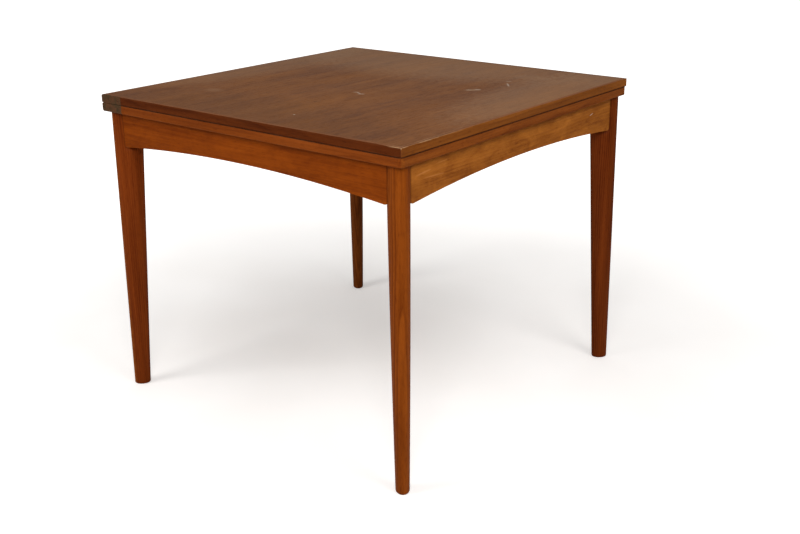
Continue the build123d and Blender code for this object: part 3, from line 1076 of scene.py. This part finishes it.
@dataclass(frozen=True)
class Fastener:
    """One kind of screw or bolt, which points along +Z from its seat at the origin.

    Attributes:
        name: The rule's name.
        head: The form of its head.
        head_radius: Radius of the head, over the corners on a hexagon.
        head_height: Height of the head.
        shank_radius: Radius of the shank.
        length: Length from the seat to the tip.
        slot_width: Width of the driver's slot.
        slot_depth: Depth of the slot.
        washer_radius: Radius of the washer under a hexagon head.
        washer_thick: Its thickness.
        sides: How many sides a round part has.
    """

    name: str
    head: Head
    head_radius: float
    head_height: float
    shank_radius: float
    length: float
    slot_width: float = 0.0
    slot_depth: float = 0.0
    washer_radius: float = 0.0
    washer_thick: float = 0.0
    sides: int = 28

    def slotted(self, rule: Recipe, body: Socket, wide: Socket, face: object) -> Socket:
        """The body with a driver's slot across its head.

        Args:
            rule: The tree.
            body: The screw.
            wide: The head's radius.
            face: Height of the head's face.

        Returns:
            The slotted screw.
        """
        broad = rule.ask("Slot Width", self.slot_width)
        deep = rule.ask("Slot Depth", self.slot_depth)
        size = rule.join(rule.times(wide, 3.0), broad, rule.times(deep, 2.0))
        bar = rule.made_by("GeometryNodeMeshCube", {}, Size=size).outputs["Mesh"]
        return rule.less(body, [rule.moved(bar, face)])

    def countersunk(self, rule: Recipe, wide: Socket, high: Socket, thin: Socket, tip: Profile) -> Socket:
        """A flat head that narrows into the shank."""
        body = rule.turned([(0.0, wide), (high, thin)] + tip, self.sides)
        return self.slotted(rule, body, wide, 0.0)

    def round_headed(self, rule: Recipe, wide: Socket, high: Socket, thin: Socket, tip: Profile) -> Socket:
        """A domed head that stands on its seat.

        Args:
            rule: The tree.
            wide: The head's radius.
            high: The head's height.
            thin: The shank's radius.
            tip: Height and radius of the corners of the shank's end.

        Returns:
            The screw.
        """
        curve = rule.times(high, 0.6)
        flat = rule.minus(wide, curve)
        face = rule.times(high, -1.0)
        profile = []
        for angle in (90.0, 67.5, 45.0, 22.5, 0.0):
            drop = rule.times_plus(curve, 1.0 - math.sin(math.radians(angle)), face)
            profile.append((drop, rule.times_plus(curve, math.cos(math.radians(angle)), flat)))
        body = rule.turned(profile + [(0.0, wide), (0.0, thin)] + tip, self.sides)
        return self.slotted(rule, body, wide, face)

    def hexagonal(self, rule: Recipe, wide: Socket, high: Socket, thin: Socket, tip: Profile) -> Socket:
        """A hexagon head with a chamfer, over a washer.

        Args:
            rule: The tree.
            wide: The head's radius.
            high: The head's height.
            thin: The shank's radius.
            tip: Height and radius of the corners of the shank's end.

        Returns:
            The bolt.
        """
        rim = rule.ask("Washer Radius", self.washer_radius)
        seat = rule.times(rule.ask("Washer Thickness", self.washer_thick), -1.0)
        crown = rule.minus(seat, high)
        shoulder = rule.times_plus(wide, 0.12, crown)
        hole = rule.times(thin, 1.1)
        head = rule.turned([(crown, rule.times(wide, 0.86)), (shoulder, wide), (seat, wide)], 6)
        shank = rule.turned([(seat, thin)] + tip, self.sides)
        washer = rule.welded(
            [
                rule.band(seat, rim, 0.0, rim, self.sides),
                rule.band(0.0, rim, 0.0, hole, self.sides),
                rule.flipped(rule.band(seat, hole, 0.0, hole, self.sides)),
                rule.flipped(rule.band(seat, rim, seat, hole, self.sides)),
            ]
        )
        return rule.joined([head, shank, washer])

    def piece(
        self, name: str, points: Seats, seed: int, finish: bpy.types.Material
    ) -> bpy.types.Object:
        """Makes all the fasteners of this kind on one body.

        Args:
            name: The piece's name.
            points: The seat and the driving way of each.
            seed: Seed of the slots' turns.
            finish: Their material.

        Returns:
            The piece.
        """
        rule = Recipe(self.name)
        wide = rule.ask("Head Radius", self.head_radius)
        high = rule.ask("Head Height", self.head_height)
        thin = rule.ask("Shank Radius", self.shank_radius)
        long = rule.ask("Length", self.length)
        tip = [(rule.times_plus(thin, -2.0, long), thin), (long, rule.times(thin, 0.15))]
        forms = {
            Head.COUNTERSUNK: self.countersunk,
            Head.ROUND: self.round_headed,
            Head.HEXAGON: self.hexagonal,
        }
        body = forms[self.head](rule, wide, high, thin, tip)
        way = rule.made_by("GeometryNodeInputNamedAttribute", {"data_type": "FLOAT_VECTOR"}, Name="way")
        aim = rule.made_by("FunctionNodeAlignRotationToVector", {"axis": "Z"}, Vector=rule.result(way))
        turn = rule.made_by(
            "FunctionNodeRandomValue",
            {"data_type": "FLOAT"},
            Min=0.0,
            Max=math.tau,
            Seed=rule.ask("Seed", seed, "NodeSocketInt"),
        )
        angles = rule.join(0.0, 0.0, rule.result(turn))
        spin = rule.made_by("FunctionNodeEulerToRotation", {}, Euler=angles)
        rotation = rule.made_by(
            "FunctionNodeRotateRotation",
            {"rotation_space": "LOCAL"},
            Rotation=aim.outputs[0],
            Rotate_By=spin.outputs[0],
        )
        placed = rule.made_by(
            "GeometryNodeInstanceOnPoints",
            {},
            Points=rule.given.outputs["Geometry"],
            Instance=body,
            Rotation=rotation.outputs[0],
        )
        rule.close(placed.outputs[0], finish)
        return rule.run(name, points, 35.0, finish)


@dataclass
class Fixings:
    """All the screws and bolts.

    Attributes:
        hinge_screw: Screws of the hinge plates.
        batten_screw: Screws that hold the battens to the lower leaf.
        block_screw: Screws of the corner blocks.
        leg_bolt: Coach screws into the legs.
        block_screw_along: How far along the apron a corner block's screw sits.
        bolt_seat: How far out on the diagonal a leg bolt's washer sits.
    """

    hinge_screw: Fastener = Fastener(
        "hinge_screw", Head.COUNTERSUNK, 3.3 * MM, 1.7 * MM, 1.6 * MM, 22 * MM, 0.9 * MM, 0.7 * MM
    )
    batten_screw: Fastener = Fastener(
        "batten_screw", Head.COUNTERSUNK, 4.5 * MM, 2.25 * MM, 2.25 * MM, 46 * MM, 1.1 * MM, 0.9 * MM
    )
    block_screw: Fastener = Fastener(
        "block_screw", Head.ROUND, 4.0 * MM, 2.6 * MM, 2.0 * MM, 28 * MM, 1.0 * MM, 1.2 * MM
    )
    leg_bolt: Fastener = Fastener(
        "leg_bolt",
        Head.HEXAGON,
        6.5 * MM,
        4.5 * MM,
        3.0 * MM,
        52 * MM,
        washer_radius=9.0 * MM,
        washer_thick=1.5 * MM,
    )
    block_screw_along: float = 331.3 * MM
    bolt_seat: float = 506.0 * MM

    def hinge_points(self, node: str) -> Seats:
        """Seats of one leaf's four hinge screws, two to an edge.

        Args:
            node: The node that holds them.

        Returns:
            The seats.
        """
        low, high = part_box(node)
        middle_z = (low.z + high.z) / 2
        inset = self.hinge_screw.head_radius
        points = []
        for y, way in ((low.y, Vector((0, 1, 0))), (high.y, Vector((0, -1, 0)))):
            for x in (low.x + inset, high.x - inset):
                points.append((Vector((x, y, middle_z)), way))
        return points

    def batten_points(self) -> Seats:
        """Seats of the battens' screws, three to a batten.

        Returns:
            The seats.
        """
        low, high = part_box("batten_screws")
        inset = self.batten_screw.head_radius
        rows = (low.y + inset, (low.y + high.y) / 2, high.y - inset)
        up = Vector((0, 0, 1))
        return [(Vector((x, y, low.z)), up) for x in (low.x + inset, high.x - inset) for y in rows]

    def block_points(self) -> Seats:
        """Seats of the corner blocks' screws, two to a block.

        Returns:
            The seats.
        """
        low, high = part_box("corner_block_screws")
        seat = high.x - self.block_screw.length
        middle_z = (low.z + high.z) / 2
        first = quarter_turns(Vector((seat, -self.block_screw_along, middle_z)), Vector((1, 0, 0)))
        second = quarter_turns(Vector((self.block_screw_along, -seat, middle_z)), Vector((0, -1, 0)))
        return first + second

    def bolt_points(self) -> Seats:
        """Seats of the leg bolts, one to a corner.

        Returns:
            The seats.
        """
        low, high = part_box("leg_bolts")
        out = Vector((1, -1, 0)).normalized()
        return quarter_turns(out * self.bolt_seat + Vector((0, 0, (low.z + high.z) / 2)), out)

    def build(self, brass: bpy.types.Material, zinc: bpy.types.Material) -> None:
        """Makes every fastener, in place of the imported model's.

        Args:
            brass: Material of the hinge screws.
            zinc: Material of the steel ones.
        """
        rows = [
            (self.hinge_screw, "lower_leaf_hinge_screws", "lower_leaf", brass, "old_brass"),
            (self.hinge_screw, "upper_leaf_hinge_screws", "upper_leaf", brass, "old_brass"),
            (self.batten_screw, "batten_screws", "lower_leaf", zinc, "zinc_steel"),
            (self.block_screw, "corner_block_screws", "frame", zinc, "zinc_steel"),
            (self.leg_bolt, "leg_bolts", "frame", zinc, "zinc_steel"),
        ]
        seats = {
            "batten_screws": self.batten_points,
            "corner_block_screws": self.block_points,
            "leg_bolts": self.bolt_points,
        }
        for seed, (kind, node, body, finish, slot) in enumerate(rows, start=3):
            points = seats[node]() if node in seats else self.hinge_points(node)
            form = "slotted_" if kind.slot_width else "hexagon_"
            settle(kind.piece(form + node, points, seed, finish), body, node)


@dataclass
class Legs:
    """The four oval tapered legs, longer along the table's diagonal than across it.

    Attributes:
        outer_foot: Outer reach on the diagonal, at the foot.
        outer_top: The same at the top.
        inner_foot: Inner reach at the foot.
        inner_top: The same at the top.
        across_foot: Width across the diagonal at the foot.
        across_middle: The same halfway up.
        across_top: The same at the top.
        foot_round: Radius of the foot's lower edge.
        sides: How many sides the oval has.
        rings: How many rings it has from foot to top.
    """

    outer_foot: float = 613.0 * MM
    outer_top: float = 603.0 * MM
    inner_foot: float = 574.3 * MM
    inner_top: float = 532.9 * MM
    across_foot: float = 29.6 * MM
    across_middle: float = 39.7 * MM
    across_top: float = 45.5 * MM
    foot_round: float = 4.0 * MM
    sides: int = 72
    rings: int = 56

    def between(self, rule: Recipe, share: object, name: str, foot: float, top: float) -> Socket:
        """A size that runs straight from foot to top."""
        start, end = rule.ask(name + " Foot", foot), rule.ask(name + " Top", top)
        return rule.times_plus(rule.minus(end, start), share, start)

    def across(self, rule: Recipe, share: object) -> Socket:
        """The width across the diagonal, on a parabola through foot, middle and top.

        Args:
            rule: The tree.
            share: Share of the height.

        Returns:
            The width at that height.
        """
        foot = rule.ask("Across Foot", self.across_foot)
        middle = rule.ask("Across Middle", self.across_middle)
        top = rule.ask("Across Top", self.across_top)
        down = rule.minus(1.0, share)
        lean = rule.times_plus(share, 2.0, -1.0)
        at_foot = rule.times(rule.times(down, lean), -1.0)
        at_middle = rule.times(rule.times(share, down), 4.0)
        at_top = rule.times(share, lean)
        width = rule.times(at_foot, foot)
        width = rule.times_plus(at_middle, middle, width)
        return rule.times_plus(at_top, top, width)

    def recipe(self, height: float, finish: bpy.types.Material) -> Recipe:
        """The tree of one leg, cut to fit the ends of its two aprons.

        Args:
            height: Height of the leg.
            finish: A first material, which each leg's own replaces.

        Returns:
            The tree.
        """
        rule = Recipe("tapered_leg")
        post = rule.made_by(
            "GeometryNodeMeshCylinder",
            {"fill_type": "NGON"},
            Vertices=self.sides,
            Side_Segments=self.rings,
            Radius=1.0,
            Depth=1.0,
        )
        x, y, z = rule.split(rule.node("GeometryNodeInputPosition").outputs[0])
        even = rule.math("ADD", z, 0.5)
        share = rule.times(even, even)
        up = rule.times(share, rule.ask("Height", height))
        outer = self.between(rule, share, "Outer", self.outer_foot, self.outer_top)
        inner = self.between(rule, share, "Inner", self.inner_foot, self.inner_top)
        curve = rule.ask("Foot Round", self.foot_round)
        below = rule.math("MAXIMUM", rule.minus(curve, up), 0.0)
        square = rule.minus(rule.times(curve, curve), rule.times(below, below))
        inset = rule.minus(curve, rule.math("SQRT", rule.math("MAXIMUM", square, 0.0)))
        less = rule.times(inset, -1.0)
        half_long = rule.times_plus(rule.minus(outer, inner), 0.5, less)
        half_wide = rule.times_plus(self.across(rule, share), 0.5, less)
        middle = rule.times(rule.math("ADD", outer, inner), 0.5)
        along = rule.times_plus(x, half_long, middle)
        spot = rule.join(along, rule.times(y, half_wide), up)
        round_post = post.outputs["Mesh"]
        shaped = rule.made_by("GeometryNodeSetPosition", {}, Geometry=round_post, Position=spot)
        turn = rule.join(0.0, 0.0, rule.ask("Turn", 0.0))
        turned = rule.made_by("GeometryNodeTransform", {}, Geometry=shaped.outputs[0], Rotation=turn)
        leg = turned.outputs[0]
        housings = []
        for name in ("First Apron", "Second Apron"):
            apron = rule.ask(name, None, "NodeSocketObject")
            info = rule.made_by("GeometryNodeObjectInfo", {"transform_space": "RELATIVE"}, Object=apron)
            housings.append(rule.welded([info.outputs["Geometry"]]))
        rule.close(rule.less(leg, housings), finish)
        return rule

    def build(self, nodes: dict[str, bpy.types.Object], woods: dict[str, Wood]) -> None:
        """Makes the four legs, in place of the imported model's.

        Args:
            nodes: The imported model's nodes.
            woods: Each leg's wood, by node.
        """
        sides = ("front", "right", "back", "left")
        corners = ("leg_front_right", "leg_back_right", "leg_back_left", "leg_front_left")
        rule = None
        for turn, node in enumerate(corners):
            low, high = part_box(node)
            finish = woods[node].material(low, high)
            rule = rule or self.recipe(high.z, finish)
            rule.values["Turn"] = math.radians(90.0 * turn - 45.0)
            rule.values["First Apron"] = nodes["apron_" + sides[turn]]
            rule.values["Second Apron"] = nodes["apron_" + sides[(turn + 1) % 4]]
            rule.values["Finish"] = finish
            leg = rule.run("tapered_" + node, [(Vector((0, 0, 0)), Vector((0, 0, 1)))], 40.0, finish)
            settle(leg, "frame", node)


class Table:
    """All of the table's pieces and what they are dressed in."""

    def __init__(self, nodes: dict[str, bpy.types.Object]) -> None:
        """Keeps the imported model's nodes and gives each one its own board."""
        self.nodes = nodes
        self.seeds = {name: 0.37 * (rank + 1) for rank, name in enumerate(sorted(nodes))}

    def build(self) -> None:
        """Makes the new pieces and dresses the rest."""
        brass = BRASS.material()
        zinc = ZINC.material()
        felt = FELT.material()
        Fixings().build(brass, zinc)
        Legs().build(self.nodes, {name: self.wood(name) for name in LEG_TEAK})
        for name, node in self.nodes.items():
            if name in LEG_TEAK or name.endswith(("screws", "bolts")):
                continue
            if "hinge" in name:
                dress(node, brass)
            elif "felts" in name:
                dress(node, felt)
            else:
                dress(node, self.wood(name).material(*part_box(name)))

    def wood(self, name: str) -> Wood:
        """The wood of one node, by its name.

        Args:
            name: The node's name.

        Returns:
            The finish.
        """
        seed = self.seeds[name]
        if "veneer" in name:
            return self.veneer(name, seed)
        across = Grain.X if name.endswith(("front", "back")) else Grain.Y
        if "lipping" in name:
            return Wood(
                name,
                LIPPING_TEAK.get(name, EDGE_TEAK),
                across,
                heart=(0.03, 0.65),
                seed=seed,
                # The level faces get a painted sheen.
                flat=TOP_SHEEN,
                # The gap between the leaves gets dirt and painted shade.
                seam=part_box("upper_leaf_lipping_front")[0].z,
                wear=0.03,
                rub_spot=(0.44, -0.44),
                rub_reach=RUB_REACH.get(name, 0.0),
            )
        if name in APRON_TEAK:
            return Wood(
                name,
                APRON_TEAK[name],
                across,
                heart=(0.3, 0.5),
                ring_depth=0.14,
                waviness=0.02,
                streaks=26.0,
                streak_depth=0.5,
                mottle=0.5 if name == "apron_right" else 0.25,
                # A painted shade line at the ends, where the aprons meet the legs.
                end_shade=0.7,
                seed=seed,
                marks=APRON_RIGHT_MARKS if name == "apron_right" else (),
            )
        if name in LEG_TEAK:
            low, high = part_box(name)
            middle = (low + high) / 2
            return Wood(
                name,
                LEG_TEAK[name],
                Grain.Z,
                heart=(middle.x * 0.9, middle.y * 0.9),
                ring=0.005,
                ring_depth=0.34,
                waviness=0.012,
                streaks=60.0,
                seed=seed,
                marks=LEG_NOSE_HIGHLIGHTS.get(name, ()),
            )
        grains = {"core": Grain.Y, "batten": Grain.Y, "rail": Grain.X, "dowel": Grain.X}
        ways = [grain for part, grain in grains.items() if part in name]
        return beech(name, ways[0] if ways else Grain.Z, seed)

    def veneer(self, name: str, seed: float) -> Wood:
        """The wood of one veneer; only the face that shows when closed has marks.

        Args:
            name: The veneer's node.
            seed: Shift along the fibres.

        Returns:
            The finish.
        """
        return Wood(
            name,
            TOP_TEAK,
            Grain.Y,
            heart=(0.05, 0.35),
            ring=0.011,
            ring_depth=0.12,
            pore_depth=0.18,
            streaks=11.0,
            streak_depth=0.42,
            wear=0.0,
            mottle=0.28,
            roughness=0.48,
            specular=0.2,
            seed=seed,
            marks=TOP_MARKS if name == "upper_leaf_top_veneer" else (),
        )


# ------------------------------------------------------------------ studio
@dataclass(frozen=True)
class Lamp:
    """One soft light.

    Attributes:
        name: Its name.
        strength: Watts for a panel, or the strength of an even light.
        size: Diameter of a panel in metres, or how wide an even light looks in degrees.
        place: Where a panel stands; an even light shines from that direction.
        even: Whether it is an even light from far away.
        colour: Its colour.
    """

    name: str
    strength: float
    size: float
    place: Triple
    even: bool = False
    colour: Triple = (1.0, 0.99, 0.97)

    def hang(self, target: Vector) -> None:
        """Makes the light and turns it towards a point.

        Args:
            target: The point that it shines on.
        """
        data = bpy.data.lights.new(self.name, "SUN" if self.even else "AREA")
        data.energy = self.strength
        data.color = self.colour
        if self.even:
            data.angle = math.radians(self.size)
        else:
            data.shape = "DISK"
            data.size = self.size
        light = bpy.data.objects.new(self.name, data)
        light.location = self.place
        away = Vector(self.place) - target
        light.rotation_euler = away.to_track_quat("Z", "Y").to_euler()
        bpy.context.scene.collection.objects.link(light)


LAMPS = (
    Lamp("overhead", 0.73, 90.0, (0.0, -0.1, 4.0), even=True),
    Lamp("right_panel", 27.0, 1.5, (2.4, -0.4, 2.2)),
    Lamp("left_panel", 36.0, 1.5, (-1.2, -2.4, 2.2)),
    Lamp("front_panel", 30.0, 1.0, (1.6, -2.1, 1.9)),
    Lamp("window_behind", 0.15, 60.0, (-2.5, 3.1, 2.2), even=True),
)


@dataclass(frozen=True)
class Studio:
    """Camera, floor and light.

    Attributes:
        camera_place: Where the camera stands.
        azimuth: Its direction about the table, in degrees from the front, towards the right.
        elevation: How far it looks down, in degrees.
        roll: Its roll, in degrees.
        lens: Focal length on a 36 mm wide sensor, in millimetres.
        sensor: The sensor's width, in millimetres.
        floor_half: Half the floor's side.
        floor_glow: How much the floor shines by itself near the table; less than far away, which paints a
            shade round the table.
        far_glow: The same far from it.
        glow_reach: Where that glow starts to rise, and where it stops.
        shade_centre: Middle of the deepest painted shade under the table.
        shade_depth: How much less the floor shines there.
        shade_reach: Where that painted shade ends, and where it is whole.
        room_light: How much the white room shines on the table.
    """

    camera_place: Triple = (1.6206, -1.9242, 1.1990)
    azimuth: float = 38.63
    elevation: float = 20.09
    roll: float = -0.53
    lens: float = 48.07
    sensor: float = 36.0
    floor_half: float = 40.0
    floor_glow: float = 0.45
    far_glow: float = 1.0
    glow_reach: tuple[float, float] = (0.7, 2.2)
    shade_centre: tuple[float, float] = (-0.28, 0.14)
    shade_depth: float = 0.22
    shade_reach: tuple[float, float] = (0.68, 0.08)
    room_light: float = 0.06

    def camera(self) -> None:
        """Makes the camera and makes it the scene's."""
        az, el, roll = (math.radians(v) for v in (self.azimuth, self.elevation, self.roll))
        back = Vector((math.sin(az) * math.cos(el), -math.cos(az) * math.cos(el), math.sin(el)))
        right = Vector((math.cos(az), math.sin(az), 0.0))
        up = back.cross(right)
        across = right * math.cos(roll) + up * math.sin(roll)
        upright = up * math.cos(roll) - right * math.sin(roll)
        data = bpy.data.cameras.new("camera")
        data.lens = self.lens
        data.sensor_width = self.sensor
        data.clip_start = 0.02
        data.clip_end = 200.0
        camera = bpy.data.objects.new("camera", data)
        turned = Matrix((across, upright, back)).transposed().to_4x4()
        camera.matrix_world = Matrix.Translation(self.camera_place) @ turned
        bpy.context.scene.collection.objects.link(camera)
        bpy.context.scene.camera = camera

    def distance(self, graph: Graph, point: Socket, centre: tuple[float, float]) -> Socket:
        """How far a point of the floor lies from a centre on it.

        Args:
            graph: The floor's nodes.
            point: The point.
            centre: The centre's x and y.

        Returns:
            The distance.
        """
        made = graph.node("ShaderNodeVectorMath", operation="DISTANCE")
        graph.feed(made.inputs[0], point)
        graph.feed(made.inputs[1], (*centre, 0.0))
        return graph.result(made)

    def floor(self) -> None:
        """Lays a plain pale floor that fades into the white room, with painted shade round and under the
        table.
        """
        half = self.floor_half
        mesh = bpy.data.meshes.new("floor")
        corners = [(-half, -half, 0.0), (half, -half, 0.0), (half, half, 0.0), (-half, half, 0.0)]
        mesh.from_pydata(corners, [], [(0, 1, 2, 3)])
        floor = bpy.data.objects.new("floor", mesh)
        bpy.context.scene.collection.objects.link(floor)
        made, graph, shader = new_material("pale_floor")
        point = graph.place()
        mottle = graph.smooth(graph.noise(point, 3.0, 3.0), 0.3, 0.7)
        colour = graph.mix(mottle, linear(230, 227, 225), linear(236, 234, 233))
        scuffs = graph.smooth(graph.noise(point, 55.0, 3.0, 0.7, 0.6), 0.66, 0.74)
        colour = graph.mix(graph.times(scuffs, 0.25), colour, linear(196, 190, 184))
        # Painted shade: the floor's glow is lower near the table and dips deepest under it.
        rise = graph.smooth(self.distance(graph, point, (0.0, 0.0)), *self.glow_reach)
        glow = graph.times_plus(rise, self.far_glow - self.floor_glow, self.floor_glow)
        shade = graph.smooth(self.distance(graph, point, self.shade_centre), *self.shade_reach)
        glow = graph.times_plus(shade, -self.shade_depth, glow)
        seen = graph.node("ShaderNodeLightPath").outputs["Is Camera Ray"]
        graph.tune(shader, Base_Color=colour, Roughness=0.9, Specular_IOR_Level=0.1)
        graph.tune(shader, Emission_Color=(1.0, 0.99, 0.98), Emission_Strength=graph.times(glow, seen))
        mesh.materials.append(made)

    def world(self) -> None:
        """A white room that the camera sees brighter than it shines."""
        world = bpy.data.worlds.new("room")
        bpy.context.scene.world = world
        world.use_nodes = True
        world.node_tree.nodes.clear()
        graph = Graph(world.node_tree)
        seen = graph.made_by("ShaderNodeBackground", {}, Color=(1.0, 1.0, 1.0), Strength=1.0)
        shining = graph.made_by(
            "ShaderNodeBackground", {}, Color=(1.0, 0.985, 0.965), Strength=self.room_light
        )
        blend = graph.node("ShaderNodeMixShader")
        rays = graph.node("ShaderNodeLightPath").outputs["Is Camera Ray"]
        for socket, source in zip(blend.inputs, (rays, shining.outputs[0], seen.outputs[0])):
            graph.feed(socket, source)
        graph.made_by("ShaderNodeOutputWorld", {}, Surface=blend.outputs[0])

    def build(self) -> None:
        """Lays the floor and hangs the lights."""
        self.floor()
        self.world()
        for lamp in LAMPS:
            lamp.hang(Vector((0.0, 0.0, 0.0 if lamp.even else 0.5)))
        bpy.context.scene.view_settings.view_transform = "Standard"


def main() -> None:
    """Builds the studio and the table."""
    logging.basicConfig(level=logging.INFO, format="%(name)s: %(message)s")
    studio = Studio()
    studio.camera()
    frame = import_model()
    Table(frame["nodes"]).build()
    studio.build()


if __name__ == "__main__":
    main()
